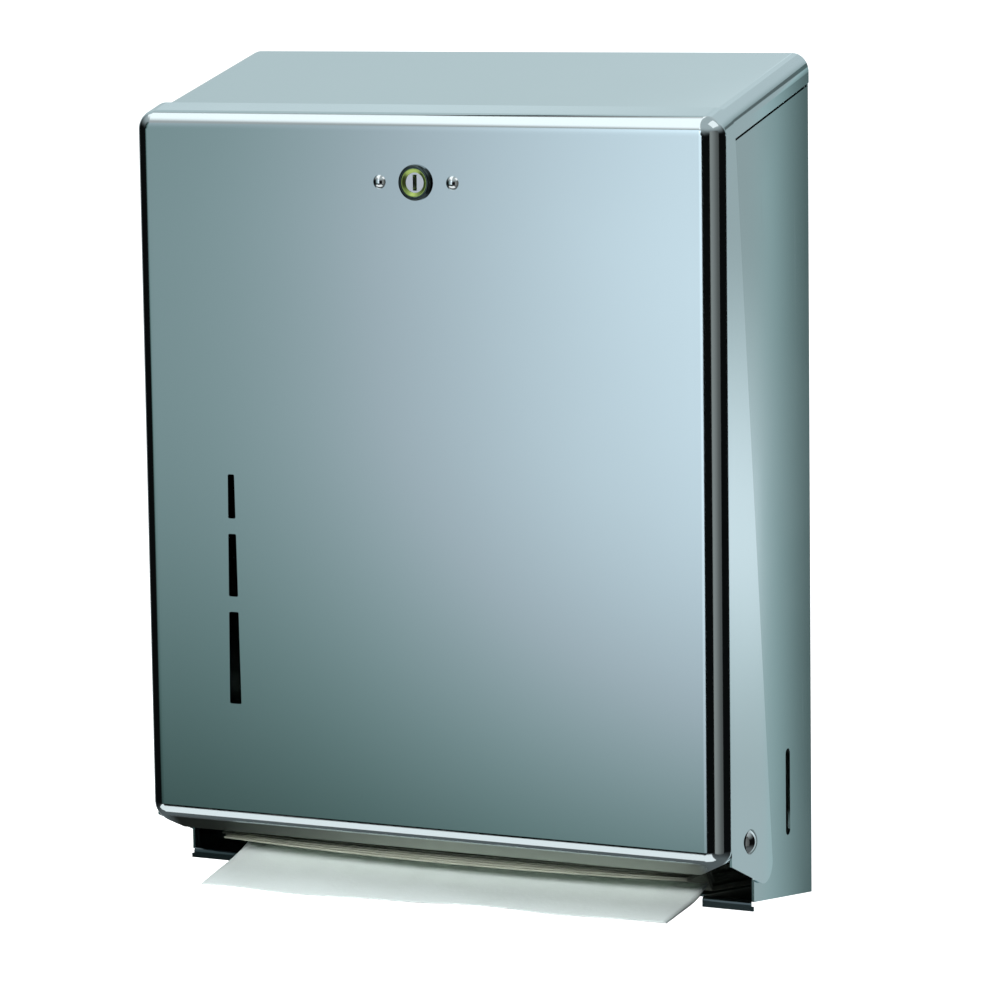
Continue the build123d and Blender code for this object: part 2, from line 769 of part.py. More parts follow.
with BuildPart() as cam_screw:
    with BuildSketch(lock_plane(screw_seat)):
        Circle(screw_head / 2)
    extrude(amount=-screw_head_height)
    fillet(cam_screw.edges().filter_by(GeomType.CIRCLE).sort_by(Axis.Y)[-1], screw_head_height / 2)
    with BuildSketch(lock_plane(screw_seat)):
        Circle(screw_shank / 2)
    extrude(amount=screw_shank_length)
    with BuildSketch(lock_plane(screw_seat + screw_head_height)):
        Rectangle(2 * screw_head, screw_slot_width)
    extrude(amount=screw_slot_depth, mode=Mode.SUBTRACT)
cam_screw.part.label = "cam_screw"
export_step(cam_screw.part, "parts/cam_screw.step")


# Towels: the folded stack on the ledges, and the towel that hangs out of the opening
def rest_at(distance):
    """Height of the stack's underside where the ledges carry it."""
    return base_at(distance) + shelf + seat_gap


with BuildPart() as towel_stack:
    with BuildSketch(Plane.YZ):
        with BuildLine():
            Polyline(
                spot(stack_front, stack_lift),
                spot(stack_lift_depth, stack_lift),
                spot(stack_rest_depth, rest_at(stack_rest_depth)),
                spot(stack_rear, rest_at(stack_rear)),
                spot(stack_rear, stack_top),
                spot(stack_front, stack_top),
                close=True,
            )
        make_face()
    extrude(amount=towel_half + stack_spread, both=True)
    fillet(towel_stack.edges().filter_by(Axis.X).group_by(Axis.Y)[0], stack_round)
towel_stack.part.label = "towel_stack"
export_step(towel_stack.part, "parts/towel_stack.step")

with BuildPart() as drawn_towel:
    stack_fall = (stack_rest_depth - stack_lift_depth) / (stack_lift - rest_at(stack_rest_depth))
    drawn_rear = stack_lift_depth + (stack_lift - drawn_rear_height) * stack_fall - 2 * seat_gap
    with BuildSketch(Plane.YZ):
        with BuildLine() as drawn_line:
            upper_bend = ThreePointArc(
                spot(drawn_rear, drawn_rear_height),
                spot(*drawn_bend),
                spot(*drawn_bend_end),
            )
            upper_tongue = Line(upper_bend @ 1, spot(0, drawn_edge_height))
            lower_bend = ThreePointArc(
                spot(drawn_rear, drawn_rear_height - drawn_thickness),
                spot(drawn_bend[0], drawn_bend[1] - drawn_thickness),
                spot(drawn_bend_end[0], drawn_bend_end[1] - drawn_thickness),
            )
            lower_tongue = Line(lower_bend @ 1, spot(0, drawn_edge_height - drawn_thickness))
            Line(upper_bend @ 0, lower_bend @ 0)
            Line(upper_tongue @ 1, lower_tongue @ 1)
        make_face()
    extrude(amount=towel_half, both=True)
drawn_towel.part.label = "drawn_towel"
export_step(drawn_towel.part, "parts/drawn_towel.step")
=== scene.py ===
"""Looks of a wall-mounted dispenser for folded paper towels.

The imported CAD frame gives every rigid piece. This script dresses those pieces, puts folded paper in
place of the two soft solids, and sets a plain studio round them. Sizes are in metres, in the frame's
axes, where nothing else is said: +X to the right seen from the front, +Y into the wall, +Z up.
"""

import logging
import math
from collections.abc import Callable
from dataclasses import dataclass, field, replace
from enum import Enum

import bmesh
import bpy
from mathutils import Matrix, Vector


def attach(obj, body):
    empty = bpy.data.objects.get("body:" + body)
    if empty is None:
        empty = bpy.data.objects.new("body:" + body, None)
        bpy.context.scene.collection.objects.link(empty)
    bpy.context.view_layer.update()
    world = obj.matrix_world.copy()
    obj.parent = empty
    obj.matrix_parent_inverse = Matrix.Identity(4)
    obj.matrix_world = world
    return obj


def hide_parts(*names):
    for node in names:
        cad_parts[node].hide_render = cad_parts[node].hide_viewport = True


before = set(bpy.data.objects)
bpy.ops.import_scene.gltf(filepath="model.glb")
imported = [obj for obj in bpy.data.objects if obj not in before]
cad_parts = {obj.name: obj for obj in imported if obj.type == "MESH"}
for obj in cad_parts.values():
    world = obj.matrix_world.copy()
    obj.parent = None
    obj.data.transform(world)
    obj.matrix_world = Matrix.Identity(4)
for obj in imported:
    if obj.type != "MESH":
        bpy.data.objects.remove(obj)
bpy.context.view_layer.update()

LOG = logging.getLogger("dispenser")
MM = 0.001
FACE_DEPTH = 0.102  # wall to the door's face
LOW_EDGE = -0.190  # the cabinet's lowest edge

Colour = tuple[float, float, float]
Point = tuple[float, float, float]
Edges = tuple[float, float]  # where a step starts and where it ends
Step = tuple[float, float, float, float]  # start, end, level before and level after
Profile = list[tuple[float, float]]  # points of a side view, as depth and height
Feed = bpy.types.NodeSocket | float


class Body(Enum):
    """Bodies of the frame that the new pieces ride on."""

    CABINET = "cabinet"
    TOWEL = "towel"


class Slot(Enum):
    """Material slots of the record."""

    PAPER = "paper"


class Grain(Enum):
    """Direction of the polishing lines on a metal piece, as stretch factors along X, Y and Z."""

    UPRIGHT = (900.0, 900.0, 14.0)
    LEVEL = (14.0, 900.0, 900.0)
    NONE = (300.0, 300.0, 300.0)


class Ease(Enum):
    """Shape of the way from one level to another."""

    SMOOTH = "SMOOTHSTEP"
    STRAIGHT = "LINEAR"


class Kind(Enum):
    """Kinds of sockets on the node groups."""

    COLOUR = "NodeSocketColor"
    COUNT = "NodeSocketInt"
    GEOMETRY = "NodeSocketGeometry"
    MATERIAL = "NodeSocketMaterial"
    NUMBER = "NodeSocketFloat"
    VECTOR = "NodeSocketVector"


Sockets = tuple[tuple[str, Kind], ...]


def place(depth_mm: float, rise_mm: float) -> tuple[float, float]:
    """Y and Z of a point given behind the door's face and above the lowest edge, in millimetres."""
    return depth_mm * MM - FACE_DEPTH, rise_mm * MM + LOW_EDGE


def opaque(colour: Colour) -> tuple[float, float, float, float]:
    """Colour as a socket takes it, with full alpha."""
    return (*colour, 1.0)


def spread(first: float, last: float, count: int) -> list[float]:
    """Evenly spaced numbers from first to last."""
    return [first + (last - first) * i / (count - 1) for i in range(count)]


def standing(centre: Point, *axes: Vector) -> Matrix:
    """Matrix of an object at a point, whose own X, Y and Z have the given directions."""
    return Matrix.Translation(centre) @ Matrix(axes).transposed().to_4x4()


def add_sockets(tree: bpy.types.NodeTree, inputs: Sockets, outputs: Sockets) -> None:
    """Give a node group its named sockets.

    Args:
        tree: The group's tree.
        inputs: Names and kinds of the inputs.
        outputs: Names and kinds of the outputs.
    """
    for way, sockets in (("INPUT", inputs), ("OUTPUT", outputs)):
        for label, kind in sockets:
            tree.interface.new_socket(label, in_out=way, socket_type=kind.value)


@dataclass
class Graph:
    """Short forms for building a shader or geometry node tree.

    Args:
        tree: The node tree that gets the nodes.
    """

    tree: bpy.types.NodeTree

    def node(self, kind: str, **settings: object) -> bpy.types.Node:
        """Add a node.

        Args:
            kind: Blender's name of the node type.
            **settings: Properties of the node to set.

        Returns:
            The new node.
        """
        made = self.tree.nodes.new(kind)
        for key, value in settings.items():
            setattr(made, key, value)
        return made

    def feed(self, socket: bpy.types.NodeSocket, source: object) -> None:
        """Link a socket to another, or set its value.

        Args:
            socket: Socket that is fed.
            source: Another node's socket, or a value.
        """
        if isinstance(source, bpy.types.NodeSocket):
            self.tree.links.new(source, socket)
        else:
            socket.default_value = source

    def math(self, operation: str, first: Feed, second: Feed = 0.0) -> bpy.types.NodeSocket:
        """Add a Math node.

        Args:
            operation: Blender's name of the operation.
            first: First operand, a socket or a number.
            second: Second operand.

        Returns:
            The result's socket.
        """
        made = self.node("ShaderNodeMath", operation=operation)
        self.feed(made.inputs[0], first)
        self.feed(made.inputs[1], second)
        return made.outputs[0]

    def plus(self, first: Feed, second: Feed) -> bpy.types.NodeSocket:
        """Sum of two values."""
        return self.math("ADD", first, second)

    def minus(self, first: Feed, second: Feed) -> bpy.types.NodeSocket:
        """Difference of two values."""
        return self.math("SUBTRACT", first, second)

    def times(self, first: Feed, second: Feed) -> bpy.types.NodeSocket:
        """Product of two values."""
        return self.math("MULTIPLY", first, second)

    def axes(self, vector: bpy.types.NodeSocket) -> bpy.types.NodeOutputs:
        """Add a Separate XYZ node.

        Args:
            vector: Coordinates.

        Returns:
            The sockets of X, Y and Z.
        """
        made = self.node("ShaderNodeSeparateXYZ")
        self.feed(made.inputs[0], vector)
        return made.outputs

    def ramp(
        self,
        value: Feed,
        start: float,
        end: float,
        low: Feed = 0.0,
        high: Feed = 1.0,
        ease: Ease = Ease.SMOOTH,
    ) -> bpy.types.NodeSocket:
        """Add a step from one level to another.

        Args:
            value: What the step depends on.
            start: Value where the step begins.
            end: Value where it ends.
            low: Level before the step.
            high: Level after it.
            ease: Shape of the step.

        Returns:
            The result's socket.
        """
        made = self.node("ShaderNodeMapRange", interpolation_type=ease.value)
        labels = ("Value", "From Min", "From Max", "To Min", "To Max")
        for label, source in zip(labels, (value, start, end, low, high)):
            self.feed(made.inputs[label], source)
        return made.outputs["Result"]

    def noise(
        self, vector: bpy.types.NodeSocket, scale: float = 1.0, detail: float = 2.0
    ) -> bpy.types.NodeSocket:
        """Add a noise texture.

        Args:
            vector: Coordinates.
            scale: Repeats in a metre.
            detail: Number of finer layers.

        Returns:
            The socket of its value, about 0.5 on average.
        """
        made = self.node("ShaderNodeTexNoise")
        self.feed(made.inputs["Vector"], vector)
        made.inputs["Scale"].default_value = scale
        made.inputs["Detail"].default_value = detail
        return made.outputs["Fac"]

    def stretch(
        self, vector: bpy.types.NodeSocket, by: Point, turn: Point = (0, 0, 0)
    ) -> bpy.types.NodeSocket:
        """Add a Mapping node.

        Args:
            vector: Coordinates.
            by: Scale along each axis.
            turn: Rotation about each axis, in degrees.

        Returns:
            The changed coordinates.
        """
        made = self.node("ShaderNodeMapping")
        self.feed(made.inputs["Vector"], vector)
        made.inputs["Scale"].default_value = by
        made.inputs["Rotation"].default_value = [math.radians(angle) for angle in turn]
        return made.outputs["Vector"]

    def blend(self, factor: Feed, first: object, second: object) -> bpy.types.NodeSocket:
        """Mix two colours.

        Args:
            factor: Share of the second colour.
            first: First colour, a socket or four numbers.
            second: Second colour.

        Returns:
            The mixed colour's socket.
        """
        made = self.node("ShaderNodeMix", data_type="RGBA")
        self.feed(made.inputs[0], factor)
        self.feed(made.inputs[6], first)
        self.feed(made.inputs[7], second)
        return made.outputs[2]

    def pick(
        self, factor: Feed, first: bpy.types.NodeSocket, second: bpy.types.NodeSocket
    ) -> bpy.types.NodeSocket:
        """Mix two shaders.

        Args:
            factor: Share of the second shader.
            first: First shader.
            second: Second shader.

        Returns:
            The mixed shader's socket.
        """
        made = self.node("ShaderNodeMixShader")
        for socket, source in zip(made.inputs, (factor, first, second)):
            self.feed(socket, source)
        return made.outputs[0]


class SharedEffect:
    """Shader node group that several finishes use.

    Scales are repeats in a metre. Edges are the values between which a mask comes in.
    """

    name = ""
    inputs: Sockets = ()
    outputs: Sockets = (
        ("Colour", Kind.COLOUR),
        ("Roughness", Kind.NUMBER),
        ("Height", Kind.NUMBER),
    )

    def group(self) -> bpy.types.NodeTree:
        """Give the group, which is built the first time that it is asked for.

        Returns:
            The group's tree.
        """
        made = bpy.data.node_groups.get(self.name)
        if made is None:
            made = bpy.data.node_groups.new(self.name, "ShaderNodeTree")
            add_sockets(made, self.inputs, self.outputs)
            graph = Graph(made)
            given = graph.node("NodeGroupInput").outputs
            self.fill(graph, given, graph.node("NodeGroupOutput").inputs)
        return made

    def fill(
        self, graph: Graph, given: bpy.types.NodeOutputs, wanted: bpy.types.NodeInputs
    ) -> None:
        """Build the inside of the group; each effect has its own."""
        raise NotImplementedError


class PolishEffect(SharedEffect):
    """Polishing lines, faint scratches and cleaning haze on bare metal."""

    name = "metal_polish"
    inputs = (
        ("Vector", Kind.VECTOR),
        ("Lines", Kind.VECTOR),
        ("Colour", Kind.COLOUR),
        ("Roughness", Kind.NUMBER),
        ("Haze", Kind.NUMBER),
        ("Scratches", Kind.NUMBER),
    )
    cloud_scale = 11.0
    cloud_edges: Edges = (0.38, 0.68)
    speck_scale = 420.0
    speck_edges: Edges = (0.62, 0.74)
    speck_share = 0.4  # of a speck in the haze, where a cloud has 1
    scratch_sets: tuple[tuple[Point, Point, Edges], ...] = (  # stretch, turn in degrees, edges
        ((700.0, 700.0, 9.0), (24.0, 17.0, 0.0), (0.73, 0.79)),
        ((8.0, 620.0, 620.0), (0.0, 31.0, 12.0), (0.74, 0.80)),
    )
    scratch_roughness = 0.25
    line_height = 0.25  # of a polishing line, where a scratch is 1 deep
    haze_colour: Colour = (0.56, 0.60, 0.60)
    haze_cover = 0.5

    def fill(
        self, graph: Graph, given: bpy.types.NodeOutputs, wanted: bpy.types.NodeInputs
    ) -> None:
        """Build the inside of the group.

        Args:
            graph: Graph of the group's tree.
            given: Sockets of the group's inputs.
            wanted: Sockets of its outputs.
        """
        here = given["Vector"]
        cloud = graph.ramp(graph.noise(here, self.cloud_scale, 3.0), *self.cloud_edges)
        specks = graph.ramp(graph.noise(here, self.speck_scale), *self.speck_edges)
        lines = graph.noise(given["Lines"])
        scratches = [
            graph.ramp(graph.noise(graph.stretch(here, by, turn), detail=1.0), *edges)
            for by, turn, edges in self.scratch_sets
        ]
        worn = graph.times(graph.math("MAXIMUM", *scratches), given["Scratches"])
        clouded = graph.plus(cloud, graph.times(specks, self.speck_share))
        hazed = graph.times(clouded, given["Haze"])
        rough = graph.plus(given["Roughness"], hazed)
        rough = graph.plus(rough, graph.times(worn, self.scratch_roughness))
        graph.feed(wanted["Roughness"], rough)
        cover = graph.times(hazed, self.haze_cover)
        colour = graph.blend(cover, given["Colour"], opaque(self.haze_colour))
        graph.feed(wanted["Colour"], colour)
        graph.feed(wanted["Height"], graph.minus(graph.times(lines, self.line_height), worn))


class CrepeEffect(SharedEffect):
    """Crepe lines, pressed dimples and fibres of paper towelling."""

    name = "paper_crepe"
    inputs = (("Vector", Kind.VECTOR), ("Colour", Kind.COLOUR), ("Shade", Kind.COLOUR))
    crepe_stretch: Point = (90.0, 1500.0, 1500.0)
    crepe_height = 0.6
    fibre_scale = 2600.0
    fibre_height = 0.35
    dimple_scale = 330.0
    dimple_edges: Edges = (0.15, 0.45)
    dimple_height = 0.5
    cloud_scale = 60.0
    mottle_share = 0.5  # of the clouds and of the fibres in the mottled colour
    mottle_edges: Edges = (0.35, 0.75)
    rough_step: Step = (0.3, 0.7, 0.82, 0.96)

    def fill(
        self, graph: Graph, given: bpy.types.NodeOutputs, wanted: bpy.types.NodeInputs
    ) -> None:
        """Build the inside of the group.

        Args:
            graph: Graph of the group's tree.
            given: Sockets of the group's inputs.
            wanted: Sockets of its outputs.
        """
        here = given["Vector"]
        crepe = graph.noise(graph.stretch(here, self.crepe_stretch))
        fibre = graph.noise(here, self.fibre_scale, 3.0)
        cloud = graph.noise(here, self.cloud_scale)
        cells = graph.node("ShaderNodeTexVoronoi", feature="F1")
        graph.feed(cells.inputs["Vector"], here)
        cells.inputs["Scale"].default_value = self.dimple_scale
        dimple = graph.ramp(cells.outputs["Distance"], *self.dimple_edges)
        height = graph.plus(
            graph.times(crepe, self.crepe_height), graph.times(fibre, self.fibre_height)
        )
        height = graph.plus(height, graph.times(dimple, self.dimple_height))
        graph.feed(wanted["Height"], height)
        mottle = graph.plus(
            graph.times(cloud, self.mottle_share), graph.times(fibre, self.mottle_share)
        )
        mottle = graph.ramp(mottle, *self.mottle_edges)
        graph.feed(wanted["Colour"], graph.blend(mottle, given["Colour"], given["Shade"]))
        graph.feed(wanted["Roughness"], graph.ramp(fibre, *self.rough_step))


class Finish:
    """Look of a piece, kept as one material. Each finish has a name and the height of its relief."""

    name: str
    relief: float

    def material(self) -> bpy.types.Material:
        """Give the material, which is built the first time that it is asked for.

        Returns:
            The material.
        """
        made = bpy.data.materials.get(self.name)
        if made is None:
            made = bpy.data.materials.new(self.name)
            made.use_nodes = True
            self.fill(Graph(made.node_tree), made.node_tree.nodes["Principled BSDF"].inputs)
        return made

    def fill(self, graph: Graph, shader: bpy.types.NodeInputs) -> None:
        """Build the material's nodes; each finish has its own."""
        raise NotImplementedError

    def effect(
        self,
        graph: Graph,
        shader: bpy.types.NodeInputs,
        kind: SharedEffect,
        values: dict[str, object],
    ) -> bpy.types.NodeOutputs:
        """Place a shared effect, and feed its relief to the shader.

        Args:
            graph: Graph of the material's tree.
            shader: Sockets of the material's shader.
            kind: The effect.
            values: Sockets or values for the effect's inputs.

        Returns:
            The sockets of the effect's outputs.
        """
        made = graph.node("ShaderNodeGroup", node_tree=kind.group())
        for label, source in values.items():
            graph.feed(made.inputs[label], source)
        bump = graph.node("ShaderNodeBump")
        bump.inputs["Distance"].default_value = self.relief
        graph.feed(bump.inputs["Height"], made.outputs["Height"])
        graph.feed(shader["Normal"], bump.outputs["Normal"])
        return made.outputs


@dataclass(frozen=True)
class LipShadeAndRoughness:
    """Rougher metal below a height, with painted shade there: dark at the left, paler to the right.

    Args:
        height: Height below which the metal is rougher and painted with shade.
        half_width: Half of the width over which it is.
        height_fade: Half of the fade at that height.
        side_fade: Fade at the ends of that width.
        painted_shade_edges: X between which the dark painted shade gives way to the paler one.
        dark: Colour of the painted shade at the left.
        pale: Colour of the paler painted shade at the right.
        roughness: Roughness that it adds.
    """

    height: float
    half_width: float = 0.130
    height_fade: float = 0.0006
    side_fade: float = 0.008
    painted_shade_edges: Edges = (-0.118, 0.02)
    dark: Colour = (0.05, 0.06, 0.05)
    pale: Colour = (0.40, 0.44, 0.38)
    roughness: float = 0.5

    def roughen_and_shade(
        self,
        graph: Graph,
        here: bpy.types.NodeSocket,
        colour: bpy.types.NodeSocket,
        rough: bpy.types.NodeSocket,
    ) -> tuple[bpy.types.NodeSocket, bpy.types.NodeSocket]:
        """Add the extra roughness and the painted shade to a metal's colour and roughness.

        Args:
            graph: Graph of the material's tree.
            here: Socket of the coordinates.
            colour: Socket of the clean metal's colour.
            rough: Socket of its roughness.

        Returns:
            The sockets of the shaded colour and of the raised roughness.
        """
        x, _, z = graph.axes(here)
        top, bottom = self.height + self.height_fade, self.height - self.height_fade
        low = graph.ramp(z, bottom, top, 1.0, 0.0)
        end = self.half_width + self.side_fade
        inner = graph.ramp(graph.math("ABSOLUTE", x), self.half_width, end, 1.0, 0.0)
        share = graph.times(low, inner)
        # Painted shade below the height: dark at the left, paler to the right.
        paler_share = graph.ramp(x, *self.painted_shade_edges)
        painted_shade = graph.blend(paler_share, opaque(self.dark), opaque(self.pale))
        rough = graph.plus(rough, graph.times(share, self.roughness))
        return graph.blend(share, colour, painted_shade), rough


@dataclass(frozen=True)
class MetalFinish(Finish):
    """Finish of a metal piece.

    Args:
        name: Name of the material.
        colour: Colour of the metal.
        roughness: Roughness where it is clean.
        haze: Roughness that cleaning haze adds.
        scratches: Strength of fine scratches.
        grain: Direction of the polishing lines.
        relief: Height of those lines.
        lip_shade_and_roughness: Painted shade and extra roughness below a height, or None.
    """

    name: str
    colour: Colour
    roughness: float
    haze: float
    scratches: float
    grain: Grain = Grain.NONE
    relief: float = 2e-7
    lip_shade_and_roughness: LipShadeAndRoughness | None = None

    def fill(self, graph: Graph, shader: bpy.types.NodeInputs) -> None:
        """Build the material's nodes.

        Args:
            graph: Graph of the material's tree.
            shader: Sockets of the material's shader.
        """
        shader["Metallic"].default_value = 1.0
        here = graph.node("ShaderNodeTexCoord").outputs["Object"]
        values = {
            "Vector": here,
            "Lines": graph.stretch(here, self.grain.value),
            "Colour": opaque(self.colour),
            "Roughness": self.roughness,
            "Haze": self.haze,
            "Scratches": self.scratches,
        }
        polish = self.effect(graph, shader, PolishEffect(), values)
        colour, rough = polish["Colour"], polish["Roughness"]
        # Below a set height: painted shade in the colour, and extra roughness.
        if self.lip_shade_and_roughness is not None:
            colour, rough = self.lip_shade_and_roughness.roughen_and_shade(graph, here, colour, rough)
        graph.feed(shader["Base Color"], colour)
        graph.feed(shader["Roughness"], rough)


@dataclass(frozen=True)
class PaperFinish(Finish):
    """Finish of paper towelling.

    Args:
        name: Name of the material.
        colour: Colour of the paper.
        shade: Colour of its thinner spots.
        relief: Height of the crepe.
        gloss: Level of its reflections.
    """

    name: str
    colour: Colour
    shade: Colour
    relief: float = 6e-5
    gloss: float = 0.2

    def fill(self, graph: Graph, shader: bpy.types.NodeInputs) -> None:
        """Build the material's nodes.

        Args:
            graph: Graph of the material's tree.
            shader: Sockets of the material's shader.
        """
        shader["Specular IOR Level"].default_value = self.gloss
        values = {
            "Vector": graph.node("ShaderNodeTexCoord").outputs["Object"],
            "Colour": opaque(self.colour),
            "Shade": opaque(self.shade),
        }
        crepe = self.effect(graph, shader, CrepeEffect(), values)
        graph.feed(shader["Base Color"], crepe["Colour"])
        graph.feed(shader["Roughness"], crepe["Roughness"])


POLISHED_CHROME = MetalFinish("polished_chrome", (0.72, 0.83, 0.86), 0.07, 0.03, 0.15)
# The door's lower lip gets painted shade, dark at the left and paler to the right, and extra
# roughness.
DOOR_CHROME = replace(POLISHED_CHROME, name="door_chrome", lip_shade_and_roughness=LipShadeAndRoughness(height=-0.1588))
SATIN_CHROME = MetalFinish("satin_chrome", (0.62, 0.72, 0.74), 0.10, 0.04, 0.25)
# Ledges: chrome darkened to paint the shade inside the cabinet's foot.
LEDGE_SHADE_CHROME = MetalFinish("shade_darkened_ledge_chrome", (0.10, 0.13, 0.14), 0.18, 0.05, 0.35)
# Lock bezel: chrome darkened to paint the dark reflection seen in its ring.
BEZEL_SHADE_CHROME = MetalFinish("shade_darkened_bezel_chrome", (0.055, 0.075, 0.075), 0.10, 0.03, 0.2)
BRIGHT_TRIM = MetalFinish("bright_trim", (0.80, 0.86, 0.88), 0.06, 0.02, 0.1)
ZINC_PLATE = MetalFinish("zinc_plate", (0.66, 0.68, 0.66), 0.30, 0.10, 0.4, Grain.LEVEL)
LOCK_BRASS = MetalFinish("turned_brass", (0.46, 0.62, 0.17), 0.26, 0.05, 0.3)
LOCK_NICKEL = MetalFinish(
    "satin_nickel", (0.95, 0.93, 0.98), 0.28, 0.05, 0.3, Grain.UPRIGHT, 1e-6
)
TOWEL_PAPER = PaperFinish("towel_paper", (0.79, 0.87, 0.86), (0.73, 0.81, 0.79))
# Stack paper: white towelling darkened to olive, painting the shade that the stack lies in under the
# door.
SHADED_STACK_PAPER = PaperFinish("shade_darkened_stack_paper", (0.48, 0.51, 0.43), (0.42, 0.45, 0.37))


def dress(node: str, finish: MetalFinish) -> None:
    """Give a CAD node a finish.

    Args:
        node: Name of the node.
        finish: Its finish.
    """
    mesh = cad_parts[node].data
    mesh.materials.clear()
    mesh.materials.append(finish.material())
    LOG.info("dressed %s with %s", node, finish.name)


def add_object(name: str, data: bpy.types.ID) -> bpy.types.Object:
    """Put an object into the scene.

    Args:
        name: Name of the object.
        data: Its mesh, light or camera.

    Returns:
        The new object.
    """
    made = bpy.data.objects.new(name, data)
    bpy.context.scene.collection.objects.link(made)
    return made


def plain_mesh(source: bpy.types.Object, name: str) -> bpy.types.Object:
    """Turn an object with modifiers into a plain mesh object of its own.

    Args:
        source: Object to evaluate; it is removed.
        name: Name of the new object.

    Returns:
        The new object, linked to the scene.
    """
    depsgraph = bpy.context.evaluated_depsgraph_get()
    mesh = bpy.data.meshes.new_from_object(source.evaluated_get(depsgraph), depsgraph=depsgraph)
    mesh.name = name
    bpy.data.objects.remove(source)
    return add_object(name, mesh)


def ribbon(
    name: str,
    line: Profile,
    columns: list[float],
    lift: Callable[[float, float, float], float] = lambda x, y, z: 0.0,
) -> bpy.types.Object:
    """Sweep a side profile across the width, as an open sheet.

    Args:
        name: Name of the sheet.
        line: Points of the profile, as Y and Z.
        columns: X of each column of points.
        lift: Function of X, Y and Z that gives how far a point is moved up.

    Returns:
        The sheet's object, with faces whose normals all point the same way.
    """
    shell = bmesh.new()
    rows = [[shell.verts.new((x, y, z + lift(x, y, z))) for x in columns] for y, z in line]
    for low, high in zip(rows, rows[1:]):
        for i in range(len(columns) - 1):
            shell.faces.new((low[i], low[i + 1], high[i + 1], high[i]))
    mesh = bpy.data.meshes.new(name)
    shell.to_mesh(mesh)
    shell.free()
    mesh.shade_smooth()
    return add_object(name, mesh)


def thicken(sheet: bpy.types.Object, thickness: float) -> None:
    """Give an open sheet its thickness, half of it to each side.

    Args:
        sheet: Object of the sheet.
        thickness: Thickness of the paper.
    """
    paper = sheet.modifiers.new("paper", "SOLIDIFY")
    paper.thickness = thickness
    paper.offset = 0.0


def flat_panel(name: str, width: float, height: float, level: float = 0.0) -> bpy.types.Mesh:
    """Make a level rectangle round the Z axis.

    Args:
        name: Name of the mesh.
        width: Size along X.
        height: Size along Y.
        level: Its Z.

    Returns:
        The mesh.
    """
    shell = bmesh.new()
    bmesh.ops.create_grid(shell, x_segments=1, y_segments=1, size=0.5)
    bmesh.ops.scale(shell, vec=(width, height, 1.0), verts=shell.verts)
    bmesh.ops.translate(shell, vec=(0.0, 0.0, level), verts=shell.verts)
    mesh = bpy.data.meshes.new(name)
    shell.to_mesh(mesh)
    shell.free()
    return mesh


class RigidAssembly:
    """Sub-assembly whose pieces are all nodes of the CAD frame."""

    def finishes(self) -> tuple[tuple[tuple[str, ...], MetalFinish], ...]:
        """Names of pieces and the finish that they get; each sub-assembly has its own."""
        raise NotImplementedError

    def build(self) -> None:
        """Dress every piece."""
        for names, finish in self.finishes():
            for name in names:
                dress(name, finish)


@dataclass
class Cabinet(RigidAssembly):
    """Back and sides, top panel, towel ledges, keeper and door pivots."""

    shell: tuple[str, ...] = ("cabinet_body",)
    cap: tuple[str, ...] = ("top_panel",)
    ledges: tuple[str, ...] = ("left_towel_ledge", "right_towel_ledge")
    rivets: tuple[str, ...] = ("left_pivot_rivet", "right_pivot_rivet")
    brackets: tuple[str, ...] = ("latch_keeper", "left_pivot_washer", "right_pivot_washer")

    def finishes(self) -> tuple[tuple[tuple[str, ...], MetalFinish], ...]:
        """Give the pieces with their finishes.

        Returns:
            Pairs of names and a finish.
        """
        return (
            (self.shell, SATIN_CHROME),
            (self.cap, POLISHED_CHROME),
            # The ledges' chrome is darkened as painted shade.
            (self.ledges, LEDGE_SHADE_CHROME),
            (self.rivets, BRIGHT_TRIM),
            (self.brackets, ZINC_PLATE),
        )


@dataclass
class Door(RigidAssembly):
    """Drop-front door with its lock plate and rivets."""

    panel: tuple[str, ...] = ("door_panel",)
    rivets: tuple[str, ...] = ("lock_rivets",)
    plate: tuple[str, ...] = ("lock_plate",)

    def finishes(self) -> tuple[tuple[tuple[str, ...], MetalFinish], ...]:
        """The pieces with their finishes."""
        return (self.panel, DOOR_CHROME), (self.rivets, BRIGHT_TRIM), (self.plate, ZINC_PLATE)


@dataclass
class Lock(RigidAssembly):
    """Cam lock in the door."""

    # The bezel's chrome is darkened as a painted dark reflection.
    shaded_bezel: tuple[str, ...] = ("lock_bezel",)
    brass: tuple[str, ...] = ("lock_barrel", "lock_wafers")
    nickel: tuple[str, ...] = ("lock_plug",)
    washers: tuple[str, ...] = ("lock_tooth_washer", "lock_nut")
    latch: tuple[str, ...] = ("lock_cam", "cam_washer", "cam_screw")

    def finishes(self) -> tuple[tuple[tuple[str, ...], MetalFinish], ...]:
        """Give the pieces with their finishes.

        Returns:
            Pairs of names and a finish.
        """
        return (
            (self.shaded_bezel, BEZEL_SHADE_CHROME),
            (self.brass, LOCK_BRASS),
            (self.nickel, LOCK_NICKEL),
            (self.washers + self.latch, ZINC_PLATE),
        )


